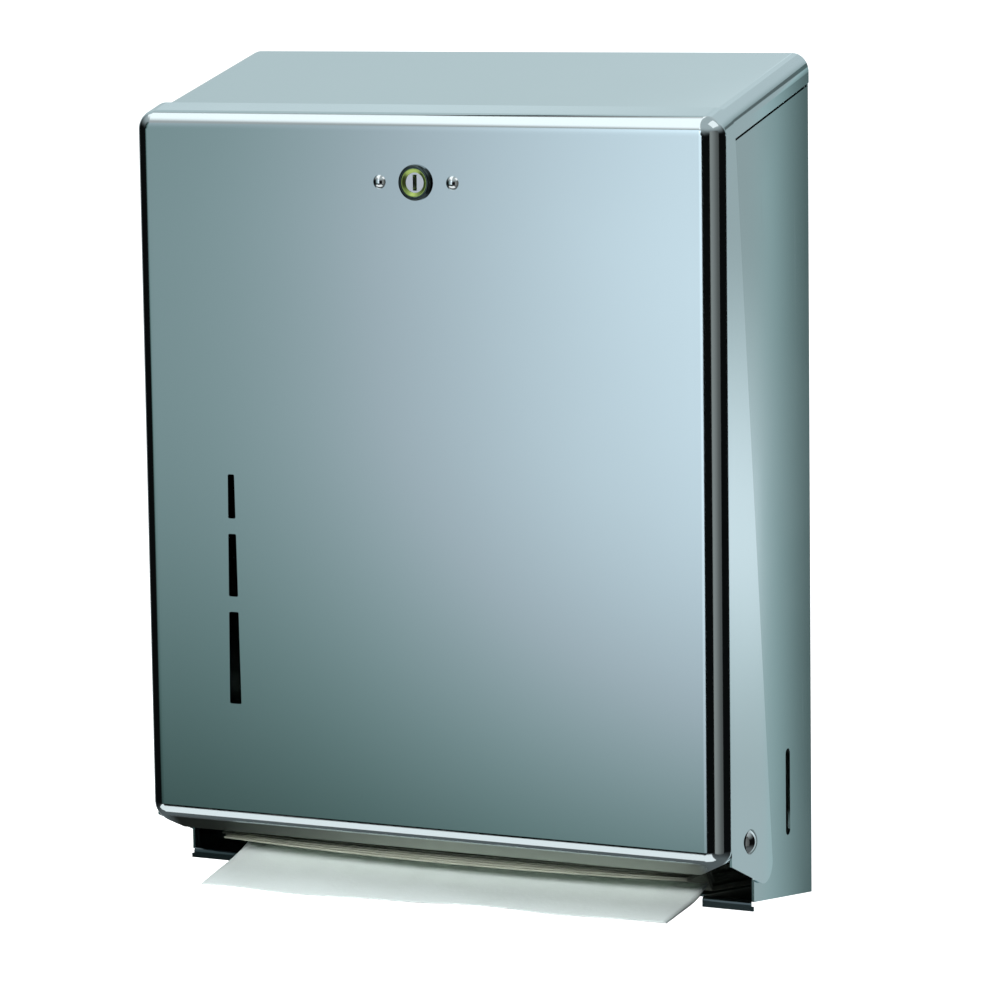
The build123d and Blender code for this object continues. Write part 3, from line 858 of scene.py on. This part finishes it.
@dataclass
class TowelStack:
    """Folded towels that lie on the two ledges.

    Each towel has three panels. The front of the stack is lifted off the opening, and its lower front
    edge sags a little between the ledges. Depths behind the door's face and heights above the lowest
    edge are in millimetres.

    Args:
        count: Number of towels.
        width: Width of a towel, in metres.
        towel_length: Its length before it is folded, in metres. Not used.
        thickness: Thickness of the paper, in metres.
        front: Depth of the stack's front.
        rear: Depth of its rear.
        top: Height of its top.
        lift: Height of its underside at the front.
        lift_end: Depth where the underside starts to come down from there.
        rest_start: Depth from which it lies on the ledges.
        rest_height: Height of the ledges there.
        rear_height: Height of the ledges at the rear.
        sag: Drop of the lower front edge in the middle.
        sag_end: Depth where that drop ends.
        wander: Sideways scatter of the towels, in metres.
        depth_wander: Their scatter in depth, in metres.
        turn: Scatter of their turn, in degrees.
        seed: Seed of the scatter.
        columns: Columns of points across a towel.
        levels: Heights of a towel's panels, as shares of its height in the stack.
        fold_rise: Height of a fold above the panel below it, as such a share.
        fold_reach: How far a fold stands out from its panels, in metres.
        steps: Shares of the depth at which a panel has points.
    """

    count: int = 44
    width: float = 0.234
    towel_length: float = 0.239
    thickness: float = 0.00022
    front: float = 20.9
    rear: float = 100.1
    top: float = 63.6
    lift: float = 18.3
    lift_end: float = 41.0
    rest_start: float = 49.0
    rest_height: float = 8.5
    rear_height: float = 1.8
    sag: float = 2.3
    sag_end: float = 40.0
    wander: float = 0.0022
    depth_wander: float = 0.0004
    turn: float = 0.25
    seed: int = 11
    columns: int = 9
    levels: tuple[float, ...] = (0.2, 0.5, 0.8)
    fold_rise: float = 0.15
    fold_reach: float = 0.0005
    steps: tuple[float, ...] = (
        0.0, 0.05, 0.12, 0.19, 0.25, 0.28, 0.31, 0.34, 0.37, 0.42, 0.55, 0.75, 0.95, 1.0
    )

    def fold_line(self) -> Profile:
        """Profile of one towel: depth in metres behind the face, and share of the towel's height.

        Returns:
            Points from the free front edge round the rear and the front fold to the free rear edge.
        """
        near, far = self.front * MM, self.rear * MM
        start, run = near + self.fold_reach, far - near - 2 * self.fold_reach
        line: Profile = []
        for panel, level in enumerate(self.levels):
            backward = panel % 2 == 1
            shares = self.steps[::-1] if backward else self.steps
            line += [(start + run * share, level) for share in shares]
            if panel < len(self.levels) - 1:
                line.append((near if backward else far, level + self.fold_rise))
        return line

    def scatter(self, graph: Graph, given: bpy.types.NodeOutputs) -> bpy.types.NodeSocket:
        """Nodes that put a towel on each point of an upright line, a little out of place.

        Args:
            graph: Graph of the stack's tree.
            given: Sockets of the tree's inputs.

        Returns:
            Socket of the towels as instances.
        """
        line = graph.node("GeometryNodeMeshLine", mode="OFFSET")
        graph.feed(line.inputs["Count"], given["Count"])
        line.inputs["Offset"].default_value = (0.0, 0.0, 1.0)
        shift = graph.node("FunctionNodeRandomValue", data_type="FLOAT_VECTOR")
        graph.feed(shift.inputs["Max"], given["Wander"])
        back = graph.node("ShaderNodeVectorMath", operation="SCALE")
        graph.feed(back.inputs[0], given["Wander"])
        back.inputs["Scale"].default_value = -1.0
        graph.feed(shift.inputs["Min"], back.outputs["Vector"])
        graph.feed(shift.inputs["Seed"], given["Seed"])
        moved = graph.node("GeometryNodeSetPosition")
        graph.feed(moved.inputs["Geometry"], line.outputs["Mesh"])
        graph.feed(moved.inputs["Offset"], shift.outputs["Value"])
        angle = graph.node("FunctionNodeRandomValue", data_type="FLOAT")
        graph.feed(angle.inputs[2], graph.times(given["Turn"], -1.0))
        graph.feed(angle.inputs[3], given["Turn"])
        graph.feed(angle.inputs["Seed"], graph.plus(given["Seed"], 1.0))
        turn = graph.node("ShaderNodeCombineXYZ")
        graph.feed(turn.inputs["Z"], angle.outputs[1])
        copies = graph.node("GeometryNodeInstanceOnPoints")
        graph.feed(copies.inputs["Points"], moved.outputs["Geometry"])
        graph.feed(copies.inputs["Instance"], given["Geometry"])
        graph.feed(copies.inputs["Rotation"], turn.outputs["Vector"])
        return copies.outputs["Instances"]

    def settle(self, graph: Graph, given: bpy.types.NodeOutputs) -> bpy.types.NodeSocket:
        """Nodes that turn a towel's number into a height between the ledges and the stack's top.

        Args:
            graph: Graph of the stack's tree.
            given: Sockets of the tree's inputs.

        Returns:
            Socket of the settled position.
        """
        x, depth, layer = graph.axes(graph.node("GeometryNodeInputPosition").outputs["Position"])
        share = graph.math("DIVIDE", layer, given["Count"])
        rest, rear = self.rest_start * MM, self.rear * MM
        slope = graph.ramp(depth, rest, rear, given["Rest"], given["Rear"], Ease.STRAIGHT)
        under = graph.ramp(depth, self.lift_end * MM, rest, given["Lift"], slope)
        across = graph.math("DIVIDE", x, self.width / 2)
        bow = graph.minus(1.0, graph.times(across, across))
        near = graph.ramp(depth, self.front * MM, self.sag_end * MM, 1.0, 0.0)
        drop = graph.times(given["Sag"], graph.minus(1.0, share))
        under = graph.minus(under, graph.times(graph.times(bow, near), drop))
        height = graph.plus(under, graph.times(share, graph.minus(given["Top"], under)))
        made = graph.node("ShaderNodeCombineXYZ")
        graph.feed(made.inputs["X"], x)
        graph.feed(made.inputs["Y"], graph.minus(depth, FACE_DEPTH))
        graph.feed(made.inputs["Z"], graph.plus(height, LOW_EDGE))
        return made.outputs["Vector"]

    def tree(self) -> bpy.types.NodeTree:
        """Geometry node tree that stacks the towels and settles them on the ledges.

        Returns:
            The tree, with named inputs for the stack's sizes.
        """
        tree = bpy.data.node_groups.new("stack_of_towels", "GeometryNodeTree")
        heights = ("Top", "Lift", "Rest", "Rear", "Sag")
        inputs = (
            ("Geometry", Kind.GEOMETRY),
            ("Count", Kind.COUNT),
            ("Wander", Kind.VECTOR),
            ("Turn", Kind.NUMBER),
            ("Seed", Kind.COUNT),
            *((label, Kind.NUMBER) for label in heights),
            ("Paper", Kind.MATERIAL),
        )
        add_sockets(tree, inputs, (("Geometry", Kind.GEOMETRY),))
        graph = Graph(tree)
        given = graph.node("NodeGroupInput").outputs
        real = graph.node("GeometryNodeRealizeInstances")
        graph.feed(real.inputs["Geometry"], self.scatter(graph, given))
        settled = graph.node("GeometryNodeSetPosition")
        graph.feed(settled.inputs["Geometry"], real.outputs["Geometry"])
        graph.feed(settled.inputs["Position"], self.settle(graph, given))
        paper = graph.node("GeometryNodeSetMaterial")
        graph.feed(paper.inputs["Geometry"], settled.outputs["Geometry"])
        graph.feed(paper.inputs["Material"], given["Paper"])
        graph.feed(graph.node("NodeGroupOutput").inputs["Geometry"], paper.outputs["Geometry"])
        return tree

    def build(self) -> bpy.types.Object:
        """Build the stack in place of its solid.

        Returns:
            The finished piece.
        """
        half = self.width / 2
        source = ribbon("towel_fold", self.fold_line(), spread(-half, half, self.columns))
        stacker = source.modifiers.new("stack", "NODES")
        stacker.node_group = self.tree()
        values = {
            "Count": self.count,
            "Wander": (self.wander, self.depth_wander, 0.0),
            "Turn": math.radians(self.turn),
            "Seed": self.seed,
            "Top": self.top * MM,
            "Lift": self.lift * MM,
            "Rest": self.rest_height * MM,
            "Rear": self.rear_height * MM,
            "Sag": self.sag * MM,
            # The stack's paper is darkened to paint its shade.
            "Paper": SHADED_STACK_PAPER.material(),
        }
        for item in stacker.node_group.interface.items_tree:
            if item.in_out == "INPUT" and item.name in values:
                stacker[item.identifier] = values[item.name]
        thicken(source, self.thickness)
        piece = plain_mesh(source, "folded_towel_stack")
        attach(piece, Body.CABINET.value)
        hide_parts("towel_stack")
        return piece


@dataclass
class DrawnTowel:
    """End of the towel that hangs out at the foot, folded double at its front edge.

    Args:
        width: Width of the towel, in metres.
        flat_length: Length of the end when it is laid flat, in metres. Not used.
        line: Middle of the two layers, as millimetres behind the face and above the lowest edge.
        gap: Half the distance between the layers, in millimetres.
        fold_reach: How far the fold stands out in front of them, in millimetres.
        fold_half: Half the height of the fold's front, in millimetres.
        free_depth: Depth from which the sheet hangs free towards the front, in millimetres.
        tilt: Rise of the front edge from the middle to the right end, in millimetres.
        tilt_growth: Power by which the tilt grows towards the front.
        wave: Height of the sheet's wave at the front edge, in millimetres.
        wave_growth: Power by which the wave grows towards the front.
        ripples: Turns, start and share of the sines that make up the wave.
        columns: Columns of points across the towel.
        thickness: Thickness of the paper, in metres.
    """

    width: float = 0.234
    flat_length: float = 0.0945
    line: tuple[tuple[float, float], ...] = (
        (43.9, 12.6),
        (39.5, 10.8),
        (35.0, 9.2),
        (30.0, 7.8),
        (25.0, 6.8),
        (20.0, 6.0),
        (14.0, 5.0),
        (8.0, 3.95),
        (3.0, 3.1),
        (0.8, 2.7),
    )
    gap: float = 0.21
    fold_reach: float = 0.35
    fold_half: float = 0.12
    free_depth: float = 34.0
    tilt: float = 2.2
    tilt_growth: float = 1.3
    wave: float = 0.55
    wave_growth: float = 1.8
    ripples: tuple[Point, ...] = ((5.2, 0.7, 1.0), (11.3, -1.1, 0.55))
    columns: int = 79
    thickness: float = 0.0002

    def lift(self, x: float, y: float, z: float) -> float:
        """How far a point of the sheet stands above its plain profile.

        Args:
            x: Across the towel.
            y: Depth of the point.
            z: Height of the point, which doesn't matter here.

        Returns:
            The height to add, in metres.
        """
        free = (self.free_depth - (y + FACE_DEPTH) / MM) / self.free_depth
        near = max(0.0, min(1.0, free))
        share = x / (self.width / 2)
        ripple = sum(size * math.sin(turns * share + start) for turns, start, size in self.ripples)
        tilted = self.tilt * share * near**self.tilt_growth
        return (tilted + self.wave * ripple * near**self.wave_growth) * MM

    def build(self) -> bpy.types.Object:
        """Build the sheet in place of its solid.

        Returns:
            The finished piece.
        """
        lower = [place(depth, rise - self.gap) for depth, rise in self.line]
        upper = [place(depth, rise + self.gap) for depth, rise in reversed(self.line)]
        tip_depth, tip_rise = self.line[-1]
        front = tip_depth - self.fold_reach
        fold = [place(front, tip_rise - self.fold_half), place(front, tip_rise + self.fold_half)]
        half = self.width / 2
        columns = spread(-half, half, self.columns)
        source = ribbon("towel_end", lower + fold + upper, columns, self.lift)
        thicken(source, self.thickness)
        piece = plain_mesh(source, "hanging_towel")
        piece.data.materials.append(TOWEL_PAPER.material())
        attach(piece, Body.TOWEL.value)
        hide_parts("drawn_towel")
        return piece


@dataclass
class Card:
    """Soft light card that shows only in reflections.

    Args:
        name: Name of the card.
        centre: Middle of the card.
        towards: Point that it faces.
        width: Its width.
        height: Its height.
        strength: Brightness of its brightest part.
        colour: Colour of that part.
        dim_colour: Colour of its dark part.
        across: Steps along the width, from the card's middle.
        up: Steps along the height, from the card's middle.
        tint_end: Level from which the bright colour holds.
        lean: Rise of the steps along the height, for each metre of the width.
    """

    name: str
    centre: Point
    towards: Point
    width: float
    height: float
    strength: float
    colour: Colour = (1.0, 1.0, 1.0)
    dim_colour: Colour = (1.0, 1.0, 1.0)
    across: tuple[Step, ...] = ()
    up: tuple[Step, ...] = ()
    tint_end: float = 1.0
    lean: float = 0.0

    def build(self) -> None:
        """Put the card up."""
        mesh = flat_panel(self.name, self.width, self.height)
        mesh.materials.append(self.material())
        made = add_object(self.name, mesh)
        facing = (Vector(self.towards) - Vector(self.centre)).normalized()
        side = Vector((0, 0, 1)).cross(facing)
        level = side.length < 1e-4  # the card faces straight up or down
        side = Vector((1, 0, 0)) if level else side.normalized()
        made.matrix_world = standing(self.centre, side, facing.cross(side), facing)
        made.visible_camera = False
        made.visible_diffuse = False
        made.visible_shadow = False

    def material(self) -> bpy.types.Material:
        """Emission that changes along the card's width and height.

        Returns:
            The material.
        """
        made = bpy.data.materials.new(self.name)
        made.use_nodes = True
        made.node_tree.nodes.clear()
        graph = Graph(made.node_tree)
        x, y, _ = graph.axes(graph.node("ShaderNodeTexCoord").outputs["Object"])
        leaning = graph.minus(y, graph.times(x, self.lean))
        level: Feed = 1.0
        for along, steps in ((x, self.across), (leaning, self.up)):
            for step in steps:
                level = graph.times(graph.ramp(along, *step), level)
        share = graph.math("DIVIDE", level, self.tint_end)
        glow = graph.node("ShaderNodeEmission")
        tint = graph.blend(share, opaque(self.dim_colour), opaque(self.colour))
        graph.feed(glow.inputs["Color"], tint)
        graph.feed(glow.inputs["Strength"], graph.times(level, self.strength))
        graph.feed(graph.node("ShaderNodeOutputMaterial").inputs["Surface"], glow.outputs[0])
        return made


@dataclass
class Lamp:
    """Soft area light for the paper and the floor, which the metal doesn't mirror.

    Args:
        name: Name of the light.
        centre: Middle of the light.
        towards: Point that it faces.
        size: Its side.
        power: Its power in watts.
    """

    name: str
    centre: Point
    towards: Point
    size: float
    power: float

    def build(self) -> None:
        """Put the light up."""
        data = bpy.data.lights.new(self.name, "AREA")
        data.size = self.size
        data.energy = self.power
        made = add_object(self.name, data)
        facing = Vector(self.towards) - Vector(self.centre)
        turn = facing.to_track_quat("-Z", "Y").to_matrix().to_4x4()
        made.matrix_world = Matrix.Translation(self.centre) @ turn
        made.visible_glossy = False


@dataclass
class Surroundings:
    """White to the camera, and a soft dim studio to everything else.

    Each step runs along one axis of the direction that is looked in.

    Args:
        tint: Colour of the dim studio.
        least: Its light in the darkest direction.
        ceiling_rise: Light of the ceiling, along Z.
        ceiling_back: Share of it towards the wall, along Y.
        ground_fall: Light of the ground, along Z.
        rear_start: Share of the light behind the wall, along Y.
        rear_left: Level of that light, along X.
        rear_right: Its end at the right, along X.
        rear_rise: Its share by height, along Z.
    """

    tint: Colour = (0.90, 0.98, 1.0)
    least: float = 0.004
    ceiling_rise: Step = (0.12, 0.75, 0.0, 0.48)
    ceiling_back: Step = (0.35, 0.75, 1.0, 0.45)
    ground_fall: Step = (-0.70, -0.25, 0.12, 0.0)
    rear_start: Step = (0.38, 0.62, 0.0, 1.0)
    rear_left: Step = (-0.55, -0.25, 0.5, 0.32)
    rear_right: Step = (0.40, 0.56, 1.0, 0.0)
    rear_rise: Step = (-0.45, 0.30, 0.55, 1.0)

    def level(self, graph: Graph) -> bpy.types.NodeSocket:
        """Brightness of the dim studio.

        Args:
            graph: Graph of the world's tree.

        Returns:
            Socket of the brightness.
        """
        x, y, z = graph.axes(graph.node("ShaderNodeTexCoord").outputs["Generated"])
        ceiling = graph.times(graph.ramp(z, *self.ceiling_rise), graph.ramp(y, *self.ceiling_back))
        ground = graph.ramp(z, *self.ground_fall)
        rear = graph.times(graph.ramp(x, *self.rear_left), graph.ramp(x, *self.rear_right))
        rear = graph.times(rear, graph.ramp(z, *self.rear_rise))
        behind = graph.times(graph.ramp(y, *self.rear_start), rear)
        return graph.plus(graph.plus(graph.plus(ceiling, ground), behind), self.least)

    def build(self) -> None:
        """Put up the world."""
        world = bpy.data.worlds.new("studio")
        bpy.context.scene.world = world
        world.use_nodes = True
        world.node_tree.nodes.clear()
        graph = Graph(world.node_tree)
        dim = graph.node("ShaderNodeBackground")
        dim.inputs["Color"].default_value = opaque(self.tint)
        graph.feed(dim.inputs["Strength"], self.level(graph))
        white = graph.node("ShaderNodeBackground")
        white.inputs["Color"].default_value = (1.0, 1.0, 1.0, 1.0)
        seen = graph.node("ShaderNodeLightPath").outputs["Is Camera Ray"]
        shader = graph.pick(seen, dim.outputs[0], white.outputs[0])
        graph.feed(graph.node("ShaderNodeOutputWorld").inputs["Surface"], shader)


@dataclass
class Floor:
    """Plain pale floor that the metal doesn't mirror and that is clear from below.

    Args:
        level: Its height.
        size: Its side.
        colour: Its colour.
        roughness: Its roughness.
        glow: Strength of the white light that it gives off.
    """

    level: float = -0.222
    size: float = 60.0
    colour: Colour = (0.9, 0.9, 0.9)
    roughness: float = 0.9
    glow: float = 0.95

    def build(self) -> None:
        """Lay the floor."""
        mesh = flat_panel("floor", self.size, self.size, self.level)
        mesh.materials.append(self.material())
        made = add_object("floor", mesh)
        made.visible_glossy = False
        made.visible_diffuse = False

    def material(self) -> bpy.types.Material:
        """Pale glowing surface with a clear back.

        Returns:
            The material.
        """
        made = bpy.data.materials.new("pale_floor")
        made.use_nodes = True
        shader = made.node_tree.nodes["Principled BSDF"]
        shader.inputs["Base Color"].default_value = opaque(self.colour)
        shader.inputs["Roughness"].default_value = self.roughness
        shader.inputs["Specular IOR Level"].default_value = 0.0
        shader.inputs["Emission Color"].default_value = (1.0, 1.0, 1.0, 1.0)
        shader.inputs["Emission Strength"].default_value = self.glow
        graph = Graph(made.node_tree)
        below = graph.node("ShaderNodeNewGeometry").outputs["Backfacing"]
        clear = graph.node("ShaderNodeBsdfTransparent").outputs[0]
        surface = made.node_tree.nodes["Material Output"].inputs["Surface"]
        graph.feed(surface, graph.pick(below, shader.outputs[0], clear))
        return made


@dataclass
class Studio:
    """Camera at the photograph's angle, and what stands round the dispenser.

    Args:
        eye: Place of the camera.
        yaw: Its turn to the left, in degrees.
        pitch: Its turn down, in degrees.
        roll: Its turn about its own axis, in degrees.
        lens: Focal length, in millimetres.
        sensor: Width of its picture, in millimetres.
        sight: How far it sees.
        settings: Surroundings, floor, lamps and cards, in the order that they are put up.
    """

    eye: Point = (0.92884, -1.83470, 0.25455)
    yaw: float = 27.180
    pitch: float = 7.577
    roll: float = 0.790
    lens: float = 162.46
    sensor: float = 36.0
    sight: float = 50.0
    settings: list[Surroundings | Floor | Lamp | Card] = field(default_factory=list)

    def camera(self) -> None:
        """Put up the camera."""
        yaw, pitch, roll = (math.radians(angle) for angle in (self.yaw, self.pitch, self.roll))
        level = math.cos(pitch)
        ahead = Vector((-math.sin(yaw) * level, math.cos(yaw) * level, -math.sin(pitch)))
        right = Vector((math.cos(yaw), math.sin(yaw), 0.0))
        down = ahead.cross(right)
        across = right * math.cos(roll) + down * math.sin(roll)
        up = right * math.sin(roll) - down * math.cos(roll)
        data = bpy.data.cameras.new("camera")
        data.lens = self.lens
        data.sensor_width = self.sensor
        data.clip_end = self.sight
        made = add_object("camera", data)
        made.matrix_world = standing(self.eye, across, up, -ahead)
        bpy.context.scene.camera = made

    def build(self) -> None:
        """Put up everything."""
        view = bpy.context.scene.view_settings
        view.view_transform = "Standard"
        view.look = "None"
        self.camera()
        for thing in self.settings:
            thing.build()


LAMPS = [
    Lamp("key_light", (-0.40, -1.7, 0.60), (0.0, -0.1, -0.17), size=0.35, power=30.0),
    Lamp("top_light", (-0.2, -0.6, 1.9), (0.0, -0.1, -0.1), size=1.5, power=8.0),
]

NEAR_CARD_TOP: Step = (0.283, 0.293, 1.0, 0.3)  # draws the dark line above the top panel's skirt

CARDS = [
    Card(
        "front_left_card",
        centre=(-0.703, -1.191, -0.167),
        towards=(-0.2462, -0.3014, -0.167),
        width=1.389,
        height=2.2,
        strength=0.98,
        colour=(0.83, 0.925, 1.0),
        dim_colour=(0.54, 1.0, 0.90),
        across=((-0.65, -0.40, 1.2, 1.0), (-0.3935, 0.1075, 1.0, 0.35), (0.36, 0.68, 1.0, 0.0)),
        up=(
            (-0.31, -0.27, 0.05, 1.0),
            (-0.40, 0.07, 0.12, 1.0),
            (-0.10, 0.30, 0.95, 1.04),
            (0.17, 0.28, 1.0, 0.94),
            (0.40, 1.10, 1.0, 1.45),
        ),
        tint_end=0.55,
        lean=0.08,
    ),
    Card(
        "overhead_card",
        centre=(-0.775, -0.735, 1.3),
        towards=(-0.775, -0.735, 0.0),
        width=1.15,
        height=2.03,
        strength=1.2,
        up=((-0.2, 1.08, 1.0, 0.36),),
        lean=1.94,
    ),
    Card(
        "overhead_right_card",
        centre=(-0.42, 0.5, 1.3),
        towards=(-0.42, 0.5, 0.0),
        width=0.44,
        height=0.46,
        strength=1.2,
        across=((-0.22, 0.10, 0.0, 1.0),),
        up=((-0.23, 0.0, 0.5, 1.0),),
    ),
    Card(
        "right_grey_card",
        centre=(1.4644, -0.8042, 0.0),
        towards=(0.14, -0.1, 0.0),
        width=1.46,
        height=1.8,
        strength=0.27,
        colour=(0.98, 1.0, 0.97),
        dim_colour=(0.98, 1.0, 0.97),
        across=((-0.6, 0.6, 0.37, 1.0),),
    ),
    Card(
        "side_card",
        centre=(0.20225, 0.15, -0.071),
        towards=(0.20225, -1.0, -0.071),
        width=0.0645,
        height=0.658,
        strength=0.56,
        colour=(0.74, 0.98, 1.0),
        dim_colour=(0.68, 1.0, 0.98),
        across=((0.00075, 0.03575, 0.22, 1.0),),
        up=(NEAR_CARD_TOP,),
    ),
    Card(
        "ear_card",
        centre=(0.28175, 0.15, -0.071),
        towards=(0.28175, -1.0, -0.071),
        width=0.0945,
        height=0.658,
        strength=0.90,
        colour=(0.87, 0.96, 1.0),
        dim_colour=(0.80, 1.0, 1.0),
        up=((-0.109, 0.021, 0.58, 1.0), (0.031, 0.171, 1.0, 0.52), NEAR_CARD_TOP),
    ),
    Card(
        "roof_card",
        centre=(-1.844, 2.968, 2.036),
        towards=(0.0, -0.05, 0.17),
        width=4.0,
        height=3.2,
        strength=0.72,
        colour=(0.86, 0.97, 1.0),
        dim_colour=(0.70, 1.0, 1.0),
        across=((-1.6, 1.3, 0.80, 1.0),),
        up=((0.09, 0.16, 1.0, 1.25), (0.25, 0.40, 1.0, 0.8)),
    ),
    Card(
        "roof_edge_card",
        centre=(1.153, 3.263, 2.17),
        towards=(0.14, -0.05, 0.17),
        width=3.9,
        height=3.73,
        strength=0.62,
        colour=(0.86, 0.97, 1.0),
        dim_colour=(0.74, 1.0, 1.0),
        up=((-1.3, 0.6, 0.45, 1.0),),
    ),
    Card(
        "corner_card",
        centre=(0.62, -0.12, 1.0),
        towards=(0.14, -0.10, 0.13),
        width=0.70,
        height=0.60,
        strength=1.05,
    ),
    Card(
        "low_card",
        centre=(-0.25, -0.535, -0.5),
        towards=(-0.25, -0.535, 0.0),
        width=1.2,
        height=0.51,
        strength=0.95,
    ),
]


def main() -> None:
    """Build and dress the dispenser, and set up the studio."""
    logging.basicConfig(level=logging.INFO, format="%(name)s: %(message)s")
    for assembly in (Cabinet(), Door(), Lock()):
        assembly.build()
    for soft in (TowelStack(), DrawnTowel()):
        piece = soft.build()
        LOG.info("made %s with %d faces", piece.name, len(piece.data.polygons))
    Studio(settings=[Surroundings(), Floor(), *LAMPS, *CARDS]).build()


if __name__ == "__main__":
    main()
